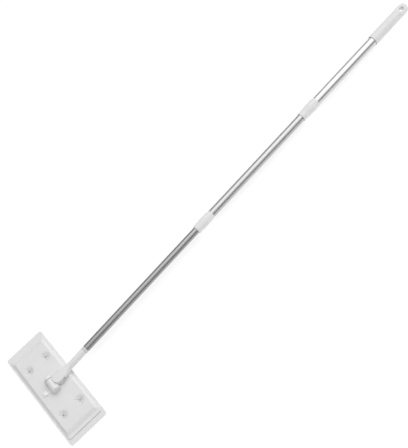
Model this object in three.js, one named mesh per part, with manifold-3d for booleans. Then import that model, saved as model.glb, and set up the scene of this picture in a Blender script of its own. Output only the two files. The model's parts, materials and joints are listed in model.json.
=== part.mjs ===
// Telescopic floor wiper with a flat swivelling head, three aluminium tubes and two twist locks.
//
// Millimetres, +Z up. The origin is the centre of the sole's underside. +X runs along the head's
// long side. +Y runs from the head towards the pole, which lies back with its grip on the floor.

import * as THREE from 'three';
import { mergeVertices } from 'three/addons/utils/BufferGeometryUtils.js';
import Module from 'manifold-3d';

const wasm = await Module();
wasm.setup();

// ---------------------------------------------------------------- driving dimensions

const GAP = 0.3;                 // clearance between pieces that meet
const OVERCUT = 1;               // how far a cutting tool runs past a face
const WELD_DISTANCE = 0.0001;    // points closer than this are one point

// Facets round a circle.
const POLE_SIDES = 24;
const GRIPPER_SIDES = 20;
const PIN_SIDES = 16;
const SCREW_SIDES = 10;
const CORNER_STEPS = 4;

// Head: sole pad, base plate and cover, from the floor up.
const HEAD_LENGTH = 280;
const HEAD_WIDTH = 108;
const HEAD_CORNER = 5;
const SOLE_THICKNESS = 5;
const SOLE_INSET = 2;
const SOLE_EDGE = 1;
const PLATE_THICKNESS = 3.5;
const PLATE_EDGE = 0.7;
const SIDE_LIP_WIDTH = 6.2;       // base plate showing beside the cover
const END_LIP_WIDTH = 12.5;       // the same at the short ends
const STEP_HEIGHT = 2.4;         // upright wall at the cover's edge
const SHELF_WIDTH = 8.5;         // level shelf at the cover's short ends
const END_SLOPE_WIDTH = 9;
const SIDE_SLOPE_WIDTH = 5.5;
const PANEL_TOP = 16.5;
const PANEL_THICKNESS = 2.2;
const COVER_CORNER = 4;
const COVER_EDGE = 0.4;          // bevel along the cover's edges
const RIM_WIDTH = 2.8;           // solid rim where the cover stands on the plate
const RIM_HEIGHT = 0.4;

// Cloth grippers: slit elastomer dishes let into the panel.
const GRIPPER_X = 72.5;
const GRIPPER_Y = 25.5;
const GRIPPER_RADIUS = 14.2;
const DISH_DEPTH = 3;
const DISH_THICKNESS = 1.2;
const DISH_RINGS = [0, 0.45, 0.8];   // where the dish's curve is faceted, as shares of its radius
const SLIT_REACH = 11;
const SLIT_WIDTH = 0.6;
const SLIT_COUNT = 4;            // each runs right across, so the dish has twice as many petals

// Screws.
const COVER_SCREW_X = 100;
const COVER_SCREW_Y = 28;
const SCREW_HEAD_RADIUS = 3.2;
const SCREW_HEAD_HEIGHT = 1.6;
const SCREW_RADIUS = 1.4;
const SCREW_LENGTH = 7.1;
const SCREW_BOSS_RADIUS = 3.8;
const SCREW_PILOT_DEPTH = 4.8;
const COUNTERBORE_DEPTH = 2;

// Neck rest: the glossy stud in front of the joint that carries the neck when it is folded forward.
const REST_X = 2;
const REST_Y = -27;
const REST_SIZE = 12;
const REST_HEIGHT = 2.4;
const REST_CORNER = 2;
const REST_PEG_RADIUS = 2;

// Universal joint: cradle with two ears, knuckle with a tongue, neck with a fork.
const PIVOT_HEIGHT = 27;
const CRADLE_LENGTH = 46;
const CRADLE_WIDTH = 28;
const CRADLE_CORNER = 10;
const CRADLE_TOP = 17.5;
const CRADLE_BEVEL = 0.5;
const CRADLE_SCREW_X = 17;
const CRADLE_BOSS_RADIUS = 4.5;
const EAR_INNER = 12.3;
const EAR_OUTER = 20;
const EAR_RADIUS = 11;
const EAR_ROUNDING = 3.5;
const EAR_ARC_STEPS = 10;
const EAR_END_STEPS = [0.5, 0.8, 1];   // where the rounded end is faceted, as shares of a quarter turn
const KNUCKLE_HALF_LENGTH = 12;
const KNUCKLE_RADIUS = 9.2;
const KNUCKLE_CHAMFER = 1;
const PITCH_PIN_RADIUS = 3;
const PITCH_PIN_INSET = 2;       // from each ear's outer face to the pin
const SWING_REACH = 20;          // from the pitch axis to the swing axis
const SWING_PIN_RADIUS = 2.5;
const TONGUE_THICKNESS = 8;
const TONGUE_RADIUS = 11.7;
const FORK_RADIUS = 13;
const FORK_THICKNESS = 18;
const FORK_EDGE = 1.6;
const FORK_CORNER = 4.8;
const FORK_SKIN = 2;             // left over the swing pin's upper end

// Pole. Distances run along the pole from the swing axis.
const REST_SWING = THREE.MathUtils.degToRad(5);
const NECK_END = 86;
const NECK_RADIUS = 8.5;
const NECK_TAPER_START = 6;
const NECK_TAPER_END = 36;
const NECK_TAPER_STEPS = 5;
const TUBE_WALL = 1;
const LOWER_TUBE = { radius: 9, start: 93, end: 564 };
const MIDDLE_TUBE = { radius: 10.5, start: 484, end: 964 };
const TOP_TUBE = { radius: 12, start: 890, end: 1242 };
const TIP_RADIUS = 8.8;
const TIP_THREAD_RADIUS = 6.2;
const TIP_THREAD_ROOT = 5.5;
const TIP_THREAD_START = 54;
const TIP_THREAD_LEAD = 2;       // plain length before the first ring
const TIP_THREAD_PITCH = 7;
const TIP_THREAD_CREST = 2.1;    // from a ring's start to its crest
const TIP_PLUG_LENGTH = 26;
const BUSH_PLUG_LENGTH = 15;
const BUSH_LENGTH = 8;
const BUSH_WALL = 1.6;

// Twist locks. Each outline is [distance from the collar's lower end, radius].
const COLLAR_STEPS = 8;
const COLLET_SLOTS = 4;
const COLLET_SLOT_WIDTH = 1;
const LOWER_LOCK = {
  start: 477,
  outline: [[0, 11.25], [8, 12], [19, 12.4], [32, 12.4], [45, 12], [54, 11.5]],
  jawRadius: 10.2,
  sleeveRadius: 11.3,
  sleeveEnd: 521,
};
const UPPER_LOCK = {
  start: 864,
  outline: [[0, 12.25], [13, 12.7], [26, 13.5], [38, 13.8], [48, 13.6], [56, 12.9]],
  jawRadius: 11.5,
  sleeveRadius: 12.7,
  sleeveEnd: 911,
};
const COLLAR_MOUTH = 1.4;        // thickness of the lip at the collar's lower end
const COLLAR_END = 7;            // length of the plain mouth at the collar's upper end

// Grip.
const SLEEVE_START = 1141;
const SLEEVE_END = 1197;
const SLEEVE_RADIUS = 14.4;
const CAP_RADIUS = 14;
const CAP_END = 1273;
const CAP_DOME_START = 1257;
const CAP_DOME_STEPS = 6;
const CAP_DOME_FULLNESS = 0.6;   // below 1 the dome is squarer than an ellipse
const CAP_PLUG_LENGTH = 30;
const CAP_PLUG_WALL = 1.5;
const CAP_FLAT = 9.5;            // half thickness across the flats at the hang hole
const CAP_ROLL = THREE.MathUtils.degToRad(16);   // turn of the flats about the pole, towards +X
const FLAT_START = 1243;
const EDGE_ROUNDING = 0.6;
const HANG_HOLE_START = 1245.8;
const HANG_HOLE_END = 1261;
const HANG_HOLE_WIDTH = 11;

// Heights and angles that follow from those.
const PLATE_BOTTOM = SOLE_THICKNESS + GAP;
const PLATE_TOP = PLATE_BOTTOM + PLATE_THICKNESS;
const COVER_BOTTOM = PLATE_TOP + GAP;
const SHELF_TOP = COVER_BOTTOM + STEP_HEIGHT;
const PANEL_BOTTOM = PANEL_TOP - PANEL_THICKNESS;
const CRADLE_BOTTOM = PANEL_TOP + GAP;
const COVER_LENGTH = HEAD_LENGTH - 2 * END_LIP_WIDTH;
const COVER_WIDTH = HEAD_WIDTH - 2 * SIDE_LIP_WIDTH;
const PANEL_LENGTH = COVER_LENGTH - 2 * (SHELF_WIDTH + END_SLOPE_WIDTH);
const PANEL_WIDTH = COVER_WIDTH - 2 * SIDE_SLOPE_WIDTH;
const POLE_DROP = PIVOT_HEIGHT - CAP_RADIUS;
const POLE_RUN = SWING_REACH + TOP_TUBE.end * Math.cos(REST_SWING);
const LIE_ANGLE = -Math.asin(POLE_DROP / POLE_RUN);   // the grip's end just meets the floor

// ---------------------------------------------------------------- solids and cuts

/** A manifold solid made from a closed three.js geometry. */
function solidOf(geometry) {
  const bare = geometry.clone();
  bare.deleteAttribute('normal');
  bare.deleteAttribute('uv');
  const merged = mergeVertices(bare, WELD_DISTANCE);
  const corners = merged.index.array;
  const kept = [];
  for (let i = 0; i < corners.length; i += 3) {
    const [a, b, c] = [corners[i], corners[i + 1], corners[i + 2]];
    if (a !== b && b !== c && c !== a) kept.push(a, b, c);
  }
  return new wasm.Manifold(new wasm.Mesh({
    numProp: 3,
    vertProperties: new Float32Array(merged.attributes.position.array),
    triVerts: new Uint32Array(kept),
  }));
}

/** A three.js geometry made from a manifold solid. */
function geometryOf(solid) {
  const mesh = solid.getMesh();
  const geometry = new THREE.BufferGeometry();
  geometry.setAttribute('position', new THREE.BufferAttribute(mesh.vertProperties, 3));
  geometry.setIndex(new THREE.BufferAttribute(mesh.triVerts, 1));
  geometry.computeVertexNormals();
  return geometry;
}

/** The union of some geometries, less all the cutting tools. */
function shape(parts, tools = []) {
  let solid = solidOf(parts[0]);
  for (const part of parts.slice(1)) solid = solid.add(solidOf(part));
  for (const tool of tools) solid = solid.subtract(solidOf(tool));
  return geometryOf(solid);
}

/** A closed outline of [radius, height] points turned about +Y. */
function turned(outline, sides) {
  return new THREE.LatheGeometry(outline.map(([r, y]) => new THREE.Vector2(r, y)), sides);
}

/** The same, turned about +Z. */
function turnedUpright(outline, sides) {
  return turned(outline, sides).rotateX(Math.PI / 2);
}

/** A rod along +Y from one distance to another. */
function rodAlongPole(radius, start, end, sides) {
  return new THREE.CylinderGeometry(radius, radius, end - start, sides).translate(0, (start + end) / 2, 0);
}

/** An upright rod at x, y. */
function uprightRod(radius, bottom, top, x, y, sides) {
  const rod = new THREE.CylinderGeometry(radius, radius, top - bottom, sides);
  return rod.rotateX(Math.PI / 2).translate(x, y, (bottom + top) / 2);
}

/** A box given by its low and high corners. */
function boxBetween(low, high) {
  const [x, y, z] = high.map((value, i) => value - low[i]);
  const box = new THREE.BoxGeometry(x, y, z);
  return box.translate(low[0] + x / 2, low[1] + y / 2, low[2] + z / 2);
}

/** The points of a rounded rectangle at one height, anticlockwise from above. */
function roundedRing(length, width, radius, height) {
  const ring = [];
  const x = length / 2 - radius;
  const y = width / 2 - radius;
  const centres = [[x, y], [-x, y], [-x, -y], [x, -y]];
  centres.forEach(([cx, cy], quarter) => {
    for (let step = 0; step <= CORNER_STEPS; step++) {
      const angle = (quarter + step / CORNER_STEPS) * Math.PI / 2;
      ring.push([cx + radius * Math.cos(angle), cy + radius * Math.sin(angle), height]);
    }
  });
  return ring;
}

/** A closed skin over convex rings that are stacked from low to high. */
function lofted(rings) {
  const size = rings[0].length;
  const index = [];
  for (let i = 1; i < size - 1; i++) {
    const top = (rings.length - 1) * size;
    index.push(0, i + 1, i, top, top + i, top + i + 1);
  }
  for (let level = 0; level < rings.length - 1; level++) {
    for (let i = 0; i < size; i++) {
      const here = level * size + i;
      const next = level * size + (i + 1) % size;
      index.push(here, next, next + size, here, next + size, here + size);
    }
  }
  const geometry = new THREE.BufferGeometry();
  geometry.setAttribute('position', new THREE.Float32BufferAttribute(rings.flat(2), 3));
  geometry.setIndex(index);
  return geometry;
}

/** The four mirror places of a point, as [x, y] pairs. */
function fourPlaces(x, y) {
  return [[-x, -y], [x, -y], [-x, y], [x, y]];
}

// ---------------------------------------------------------------- head

const coverScrews = fourPlaces(COVER_SCREW_X, COVER_SCREW_Y);
const cradleScrews = [[-CRADLE_SCREW_X, 0], [CRADLE_SCREW_X, 0]];
const grippers = fourPlaces(GRIPPER_X, GRIPPER_Y);

function solePad() {
  const length = HEAD_LENGTH - 2 * SOLE_INSET;
  const width = HEAD_WIDTH - 2 * SOLE_INSET;
  return lofted([
    roundedRing(length - 2 * SOLE_EDGE, width - 2 * SOLE_EDGE, HEAD_CORNER - SOLE_EDGE, 0),
    roundedRing(length, width, HEAD_CORNER, SOLE_EDGE),
    roundedRing(length, width, HEAD_CORNER, SOLE_THICKNESS),
  ]);
}

function basePlate() {
  const ringAt = (inset, height) => roundedRing(
    HEAD_LENGTH - 2 * inset, HEAD_WIDTH - 2 * inset, HEAD_CORNER - inset, height);
  const plate = lofted([
    ringAt(PLATE_EDGE, PLATE_BOTTOM),
    ringAt(0, PLATE_BOTTOM + PLATE_EDGE),
    ringAt(0, PLATE_TOP - PLATE_EDGE),
    ringAt(PLATE_EDGE, PLATE_TOP),
  ]);
  const holes = [];
  for (const [x, y] of [...coverScrews, ...cradleScrews]) {
    const shoulder = PLATE_BOTTOM + COUNTERBORE_DEPTH;
    const wide = SCREW_HEAD_RADIUS + GAP;
    holes.push(uprightRod(wide, PLATE_BOTTOM - OVERCUT, shoulder, x, y, SCREW_SIDES));
    holes.push(uprightRod(SCREW_RADIUS + GAP, PLATE_BOTTOM, PLATE_TOP + OVERCUT, x, y, SCREW_SIDES));
  }
  return shape([plate], holes);
}

/** Pilot holes for screws that come up through the base plate. */
function pilotHoles(places) {
  const top = COVER_BOTTOM + SCREW_PILOT_DEPTH;
  return places.map(([x, y]) => (
    uprightRod(SCREW_RADIUS + GAP, COVER_BOTTOM - OVERCUT, top, x, y, SCREW_SIDES)));
}

function topCover() {
  const edge = COVER_EDGE;
  const ringAt = (length, width, height) => roundedRing(length, width, COVER_CORNER, height);
  const skin = lofted([
    ringAt(COVER_LENGTH, COVER_WIDTH, COVER_BOTTOM),
    ringAt(COVER_LENGTH, COVER_WIDTH, SHELF_TOP - edge),
    ringAt(COVER_LENGTH - 2 * edge, COVER_WIDTH - 2 * edge, SHELF_TOP),
    ringAt(COVER_LENGTH - 2 * SHELF_WIDTH, COVER_WIDTH - 3 * edge, SHELF_TOP + edge / 4),
    ringAt(PANEL_LENGTH + 2 * edge, PANEL_WIDTH + 2 * edge, PANEL_TOP - edge),
    ringAt(PANEL_LENGTH - 2 * edge, PANEL_WIDTH - 2 * edge, PANEL_TOP),
  ]);
  const hollowLength = COVER_LENGTH - 2 * (SHELF_WIDTH + RIM_WIDTH);
  const hollowWidth = COVER_WIDTH - 2 * RIM_WIDTH;
  const hollow = lofted([
    ringAt(hollowLength, hollowWidth, COVER_BOTTOM - OVERCUT),
    ringAt(hollowLength, hollowWidth, COVER_BOTTOM + RIM_HEIGHT),
    ringAt(PANEL_LENGTH - PANEL_THICKNESS, PANEL_WIDTH - PANEL_THICKNESS, PANEL_BOTTOM),
  ]);
  const shell = shape([skin], [hollow]);
  const bosses = coverScrews.map(([x, y]) => (
    uprightRod(SCREW_BOSS_RADIUS, COVER_BOTTOM, PANEL_BOTTOM + GAP, x, y, PIN_SIDES)));
  const holes = pilotHoles(coverScrews);
  for (const [x, y] of grippers) {
    const radius = GRIPPER_RADIUS + GAP;
    holes.push(uprightRod(radius, PANEL_BOTTOM - OVERCUT, PANEL_TOP + OVERCUT, x, y, GRIPPER_SIDES));
  }
  for (const [x, y] of cradleScrews) {
    const radius = CRADLE_BOSS_RADIUS + GAP;
    holes.push(uprightRod(radius, PANEL_BOTTOM - OVERCUT, PANEL_TOP + OVERCUT, x, y, PIN_SIDES));
  }
  const pegHole = REST_PEG_RADIUS + GAP;
  holes.push(uprightRod(pegHole, PANEL_BOTTOM - OVERCUT, PANEL_TOP + OVERCUT, REST_X, REST_Y, SCREW_SIDES));
  return shape([shell, ...bosses], holes);
}

function gripperDish() {
  const rim = GRIPPER_RADIUS;
  const depthAt = (radius) => DISH_DEPTH * (1 - (radius / rim) ** 2) ** 2;
  const radii = DISH_RINGS.map((share) => share * rim);
  const underside = radii.map((radius) => [radius, -depthAt(radius) - DISH_THICKNESS]);
  const topside = radii.map((radius) => [radius, -depthAt(radius)]).reverse();
  const dish = turnedUpright([...underside, [rim, -PANEL_THICKNESS], [rim, 0], ...topside], GRIPPER_SIDES);
  const slits = [];
  for (let i = 0; i < SLIT_COUNT; i++) {
    const slit = new THREE.BoxGeometry(2 * SLIT_REACH, SLIT_WIDTH, 4 * DISH_DEPTH);
    slits.push(slit.rotateZ(i * Math.PI / SLIT_COUNT));
  }
  return shape([dish], slits);
}

function screw() {
  const shank = SCREW_HEAD_HEIGHT + SCREW_LENGTH;
  return turnedUpright([
    [0, 0],
    [SCREW_HEAD_RADIUS, 0],
    [SCREW_HEAD_RADIUS, SCREW_HEAD_HEIGHT - SCREW_RADIUS / 2],
    [SCREW_RADIUS, SCREW_HEAD_HEIGHT],
    [SCREW_RADIUS, shank - SCREW_RADIUS],
    [0, shank - SCREW_RADIUS / 2],
  ], SCREW_SIDES);
}

function neckRest() {
  const bottom = PANEL_TOP + GAP;
  const top = bottom + REST_HEIGHT;
  const pad = lofted([
    roundedRing(REST_SIZE, REST_SIZE, REST_CORNER, bottom),
    roundedRing(REST_SIZE, REST_SIZE, REST_CORNER, top - REST_CORNER / 2),
    roundedRing(REST_SIZE - REST_CORNER, REST_SIZE - REST_CORNER, REST_CORNER / 2, top),
  ]).translate(REST_X, REST_Y, 0);
  const peg = uprightRod(REST_PEG_RADIUS, PANEL_BOTTOM, bottom + GAP, REST_X, REST_Y, SCREW_SIDES);
  return shape([pad, peg]);
}

// ---------------------------------------------------------------- joint

/** One ear on the +X side, as a skin over side outlines that shrink at its rounded outer end. */
function cradleEar() {
  const foot = CRADLE_BOTTOM + GAP - PIVOT_HEIGHT;
  const outline = [[-EAR_RADIUS, foot]];
  for (let step = 0; step <= EAR_ARC_STEPS; step++) {
    const angle = Math.PI * (1 - step / EAR_ARC_STEPS);
    outline.push([EAR_RADIUS * Math.cos(angle), EAR_RADIUS * Math.sin(angle)]);
  }
  outline.push([EAR_RADIUS, foot]);
  const ringAt = (x, inset) => outline.map(([y, z]) => {
    const shrink = 1 - inset / EAR_RADIUS;
    return [x, y * shrink, PIVOT_HEIGHT + (z > 0 ? z * shrink : z)];
  });
  const rings = [ringAt(EAR_INNER, 0), ringAt(EAR_OUTER - EAR_ROUNDING, 0)];
  for (const share of EAR_END_STEPS) {
    const angle = share * Math.PI / 2;
    const x = EAR_OUTER - EAR_ROUNDING * (1 - Math.sin(angle));
    rings.push(ringAt(x, EAR_ROUNDING * (1 - Math.cos(angle))));
  }
  return lofted(rings.map((ring) => ring.reverse()));
}

/** Low foot with two ears. The pitch pin's bore is open at the -X ear and blind in the other. */
function jointCradle() {
  const bevel = 2 * CRADLE_BEVEL;
  const foot = lofted([
    roundedRing(CRADLE_LENGTH, CRADLE_WIDTH, CRADLE_CORNER, CRADLE_BOTTOM),
    roundedRing(CRADLE_LENGTH - bevel, CRADLE_WIDTH - bevel, CRADLE_CORNER - CRADLE_BEVEL, CRADLE_TOP),
  ]);
  const rightEar = cradleEar();
  const leftEar = cradleEar().rotateZ(Math.PI);
  const bosses = cradleScrews.map(([x, y]) => (
    uprightRod(CRADLE_BOSS_RADIUS, COVER_BOTTOM, CRADLE_BOTTOM + GAP, x, y, PIN_SIDES)));
  const boreRadius = PITCH_PIN_RADIUS + GAP;
  const boreLength = 2 * EAR_OUTER - PITCH_PIN_INSET;
  const bore = new THREE.CylinderGeometry(boreRadius, boreRadius, boreLength, PIN_SIDES);
  bore.rotateZ(Math.PI / 2).translate(-PITCH_PIN_INSET, 0, PIVOT_HEIGHT);
  return shape([foot, rightEar, leftEar, ...bosses], [bore, ...pilotHoles(cradleScrews)]);
}

function pitchPin() {
  const length = 2 * EAR_OUTER - 3 * PITCH_PIN_INSET;
  const pin = new THREE.CylinderGeometry(PITCH_PIN_RADIUS, PITCH_PIN_RADIUS, length, PIN_SIDES);
  return pin.rotateZ(Math.PI / 2).translate(-PITCH_PIN_INSET / 2, 0, PIVOT_HEIGHT);
}

/** Barrel on the pitch axis, hollowed where the fork turns, and tongue on the swing axis. */
function knuckle() {
  const end = KNUCKLE_HALF_LENGTH;
  const barrel = turned([
    [0, -end],
    [KNUCKLE_RADIUS - KNUCKLE_CHAMFER, -end],
    [KNUCKLE_RADIUS, -end + KNUCKLE_CHAMFER],
    [KNUCKLE_RADIUS, end - KNUCKLE_CHAMFER],
    [KNUCKLE_RADIUS - KNUCKLE_CHAMFER, end],
    [0, end],
  ], POLE_SIDES).rotateZ(-Math.PI / 2);
  const half = TONGUE_THICKNESS / 2;
  const tongue = boxBetween([-TONGUE_RADIUS, 0, -half], [TONGUE_RADIUS, SWING_REACH, half]);
  const tongueEnd = uprightRod(TONGUE_RADIUS, -half, half, 0, SWING_REACH, POLE_SIDES);
  const pitchBore = new THREE.CylinderGeometry(
    PITCH_PIN_RADIUS + GAP, PITCH_PIN_RADIUS + GAP, 2 * end + 2 * OVERCUT, PIN_SIDES).rotateZ(Math.PI / 2);
  const swingBore = uprightRod(
    SWING_PIN_RADIUS + GAP, -half - OVERCUT, half + OVERCUT, 0, SWING_REACH, PIN_SIDES);
  const hollowRadius = FORK_RADIUS + GAP;
  const recesses = [
    uprightRod(hollowRadius, half, KNUCKLE_RADIUS + OVERCUT, 0, SWING_REACH, POLE_SIDES),
    uprightRod(hollowRadius, -KNUCKLE_RADIUS - OVERCUT, -half, 0, SWING_REACH, POLE_SIDES),
  ];
  const relieved = shape([barrel], recesses);
  return shape([relieved, tongue, tongueEnd], [pitchBore, swingBore]);
}

function swingPin() {
  const top = FORK_THICKNESS / 2 - FORK_SKIN - GAP;
  return uprightRod(SWING_PIN_RADIUS, -FORK_THICKNESS / 2 + GAP, top, 0, SWING_REACH, PIN_SIDES);
}

/** Fork, taper and socket, about the swing axis, with the pole along +Y. */
function neckAdapter() {
  const forkEnd = turnedUpright([
    [0, -FORK_THICKNESS / 2],
    [FORK_RADIUS - FORK_EDGE, -FORK_THICKNESS / 2],
    [FORK_RADIUS, -FORK_THICKNESS / 2 + FORK_EDGE],
    [FORK_RADIUS, FORK_THICKNESS / 2 - FORK_EDGE],
    [FORK_RADIUS - FORK_EDGE, FORK_THICKNESS / 2],
    [0, FORK_THICKNESS / 2],
  ], POLE_SIDES);
  const { lerp, smoothstep } = THREE.MathUtils;
  const ringAt = (along, shrink = 0) => {
    const taper = smoothstep(along, NECK_TAPER_START, NECK_TAPER_END);
    const width = lerp(2 * FORK_RADIUS, 2 * NECK_RADIUS, taper) - shrink;
    const thickness = lerp(FORK_THICKNESS, 2 * NECK_RADIUS, taper) - shrink;
    const corner = lerp(FORK_CORNER, NECK_RADIUS, taper) - shrink / 2;
    return roundedRing(width, thickness, Math.min(corner, thickness / 2 - WELD_DISTANCE), along);
  };
  const rings = [ringAt(0)];
  for (let step = 0; step <= NECK_TAPER_STEPS; step++) {
    rings.push(ringAt(lerp(NECK_TAPER_START, NECK_TAPER_END, step / NECK_TAPER_STEPS)));
  }
  rings.push(ringAt(NECK_END - EDGE_ROUNDING), ringAt(NECK_END, EDGE_ROUNDING));
  const body = lofted(rings).rotateX(-Math.PI / 2);
  const slotHalf = TONGUE_THICKNESS / 2 + GAP;
  const slot = boxBetween(
    [-FORK_RADIUS - OVERCUT, -FORK_RADIUS - OVERCUT, -slotHalf],
    [FORK_RADIUS + OVERCUT, TONGUE_RADIUS + 2 * GAP, slotHalf],
  );
  const pinBore = uprightRod(
    SWING_PIN_RADIUS + GAP, -FORK_THICKNESS, FORK_THICKNESS / 2 - FORK_SKIN, 0, 0, PIN_SIDES);
  const socket = rodAlongPole(
    TIP_THREAD_RADIUS + GAP, TIP_THREAD_START - 2 * OVERCUT, NECK_END + OVERCUT, POLE_SIDES);
  return shape([forkEnd, body], [slot, pinBore, socket]);
}

// ---------------------------------------------------------------- pole

/** Threaded end piece that screws into the neck and plugs into the lower tube. */
function poleTip() {
  const bore = TIP_THREAD_ROOT - BUSH_WALL;
  const plugRadius = LOWER_TUBE.radius - TUBE_WALL - GAP;
  const ringStart = NECK_END + GAP;
  const ringEnd = LOWER_TUBE.start - GAP;
  const plugEnd = ringEnd + TIP_PLUG_LENGTH;
  const outline = [[bore, TIP_THREAD_START], [TIP_THREAD_ROOT, TIP_THREAD_START]];
  const lastRing = ringStart - TIP_THREAD_PITCH;
  for (let along = TIP_THREAD_START + TIP_THREAD_LEAD; along < lastRing; along += TIP_THREAD_PITCH) {
    outline.push([TIP_THREAD_ROOT, along]);
    outline.push([TIP_THREAD_RADIUS, along + TIP_THREAD_CREST]);
    outline.push([TIP_THREAD_ROOT, along + 2 * TIP_THREAD_CREST]);
  }
  outline.push([TIP_THREAD_ROOT, ringStart]);
  outline.push([TIP_RADIUS - EDGE_ROUNDING, ringStart]);
  outline.push([TIP_RADIUS, ringStart + EDGE_ROUNDING]);
  outline.push([TIP_RADIUS, ringEnd]);
  outline.push([plugRadius, ringEnd]);
  outline.push([plugRadius, plugEnd]);
  outline.push([bore, plugEnd]);
  outline.push([bore, TIP_THREAD_START]);
  return turned(outline, PIN_SIDES);
}

function tube({ radius, start, end }) {
  const bore = radius - TUBE_WALL;
  return turned([[bore, start], [radius, start], [radius, end], [bore, end], [bore, start]], POLE_SIDES);
}

/** Plug in the upper end of one tube with a flange that runs inside the next tube. */
function guideBush(inner, outer) {
  const plug = inner.radius - TUBE_WALL - GAP;
  const flange = outer.radius - TUBE_WALL - GAP;
  const bore = plug - BUSH_WALL;
  const seat = inner.end + GAP;
  return turned([
    [bore, inner.end - BUSH_PLUG_LENGTH],
    [plug, inner.end - BUSH_PLUG_LENGTH],
    [plug, seat],
    [flange, seat],
    [flange, seat + BUSH_LENGTH],
    [bore, seat + BUSH_LENGTH],
    [bore, inner.end - BUSH_PLUG_LENGTH],
  ], POLE_SIDES);
}

/** Sleeve on the outer tube's end with slit jaws that close on the inner tube. */
function collet(lock, inner, outer) {
  const bore = inner.radius + GAP;
  const jawStart = lock.start + COLLAR_MOUTH + GAP;
  const seat = outer.start - GAP;
  const ring = turned([
    [bore, jawStart],
    [lock.jawRadius, jawStart],
    [lock.jawRadius + GAP / 2, seat - COLLAR_MOUTH],
    [lock.sleeveRadius, seat + COLLAR_MOUTH],
    [lock.sleeveRadius, lock.sleeveEnd],
    [outer.radius + GAP, lock.sleeveEnd],
    [outer.radius + GAP, seat],
    [bore, seat],
    [bore, jawStart],
  ], POLE_SIDES);
  const slots = [];
  for (let i = 0; i < COLLET_SLOTS / 2; i++) {
    const reach = seat - 2 * GAP - jawStart;
    const slot = new THREE.BoxGeometry(3 * bore, reach + OVERCUT, COLLET_SLOT_WIDTH);
    slot.translate(0, jawStart + (reach - OVERCUT) / 2, 0);
    slots.push(slot.rotateY(Math.PI * (i + 0.25) / (COLLET_SLOTS / 2)));
  }
  return shape([ring], slots);
}

/** The turning collar of a twist lock, with a smooth barrel outside and a stepped bore. */
function lockCollar(lock, inner, outer) {
  const controls = lock.outline.map(([along, radius]) => new THREE.Vector2(radius, lock.start + along));
  const barrel = new THREE.SplineCurve(controls).getPoints(COLLAR_STEPS).map(({ x, y }) => [x, y]);
  const end = barrel[barrel.length - 1][1];
  const mouth = inner.radius + GAP;
  const seat = outer.start - GAP;
  const [first, last] = [barrel[0], barrel[barrel.length - 1]];
  return turned([
    [mouth, lock.start],
    [first[0] - EDGE_ROUNDING, lock.start],
    [first[0], lock.start + EDGE_ROUNDING],
    ...barrel.slice(1, -1),
    [last[0], end - EDGE_ROUNDING],
    [last[0] - EDGE_ROUNDING, end],
    [outer.radius + GAP, end],
    [outer.radius + GAP, end - COLLAR_END],
    [lock.sleeveRadius + GAP, end - COLLAR_END],
    [lock.sleeveRadius + GAP, seat + COLLAR_MOUTH - GAP],
    [lock.jawRadius + 2 * GAP, seat - COLLAR_MOUTH - GAP],
    [lock.jawRadius + GAP, lock.start + COLLAR_MOUTH],
    [mouth, lock.start + COLLAR_MOUTH],
    [mouth, lock.start],
  ], POLE_SIDES);
}

// ---------------------------------------------------------------- grip

function gripSleeve() {
  const bore = TOP_TUBE.radius + GAP;
  return turned([
    [bore, SLEEVE_START],
    [SLEEVE_RADIUS - EDGE_ROUNDING, SLEEVE_START],
    [SLEEVE_RADIUS, SLEEVE_START + EDGE_ROUNDING],
    [SLEEVE_RADIUS, SLEEVE_END - EDGE_ROUNDING],
    [SLEEVE_RADIUS - EDGE_ROUNDING, SLEEVE_END],
    [bore, SLEEVE_END],
    [bore, SLEEVE_START],
  ], POLE_SIDES);
}

/** Upper grip and hanging end: a domed cap over the top tube, with a plug inside it. */
function gripCap() {
  const start = SLEEVE_END + GAP;
  const bore = TOP_TUBE.radius + GAP;
  const plug = TOP_TUBE.radius - TUBE_WALL - GAP;
  const seat = TOP_TUBE.end + GAP;
  const plugStart = TOP_TUBE.end - CAP_PLUG_LENGTH;
  const outline = [
    [0, TOP_TUBE.end - CAP_PLUG_WALL],
    [plug - CAP_PLUG_WALL, TOP_TUBE.end - CAP_PLUG_WALL],
    [plug - CAP_PLUG_WALL, plugStart],
    [plug, plugStart],
    [plug, seat],
    [bore, seat],
    [bore, start],
    [CAP_RADIUS, start],
  ];
  for (let step = 0; step < CAP_DOME_STEPS; step++) {
    const angle = step / CAP_DOME_STEPS * Math.PI / 2;
    const along = CAP_DOME_START + (CAP_END - CAP_DOME_START) * Math.sin(angle);
    outline.push([CAP_RADIUS * Math.cos(angle) ** CAP_DOME_FULLNESS, along]);
  }
  outline.push([0, CAP_END]);
  const solid = turned(outline, POLE_SIDES);
  const far = 2 * CAP_RADIUS;
  const half = HANG_HOLE_WIDTH / 2;
  const holeCentres = [HANG_HOLE_START + half, HANG_HOLE_END - half];
  const tools = [
    boxBetween([-far, FLAT_START, CAP_FLAT], [far, CAP_END + OVERCUT, far]),
    boxBetween([-far, FLAT_START, -far], [far, CAP_END + OVERCUT, -CAP_FLAT]),
    boxBetween([-half, holeCentres[0], -far], [half, holeCentres[1], far]),
    ...holeCentres.map((along) => uprightRod(half, -far, far, 0, along, PIN_SIDES)),
  ];
  return shape([solid], tools.map((tool) => tool.rotateY(CAP_ROLL)));
}

// ---------------------------------------------------------------- assembly

const whitePlastic = { color: 0xe6e7e8, roughness: 0.42, metalness: 0 };
const glossPlastic = { color: 0xf7f7f7, roughness: 0.15, metalness: 0 };
const innerPlastic = { color: 0xd5d7d9, roughness: 0.5, metalness: 0 };
const elastomer = { color: 0xdfe0e1, roughness: 0.7, metalness: 0 };
const foam = { color: 0xd9dadb, roughness: 0.95, metalness: 0 };
const aluminium = { color: 0xc4c6c8, roughness: 0.3, metalness: 1 };
const steel = { color: 0xb4b6b8, roughness: 0.35, metalness: 1 };

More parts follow.
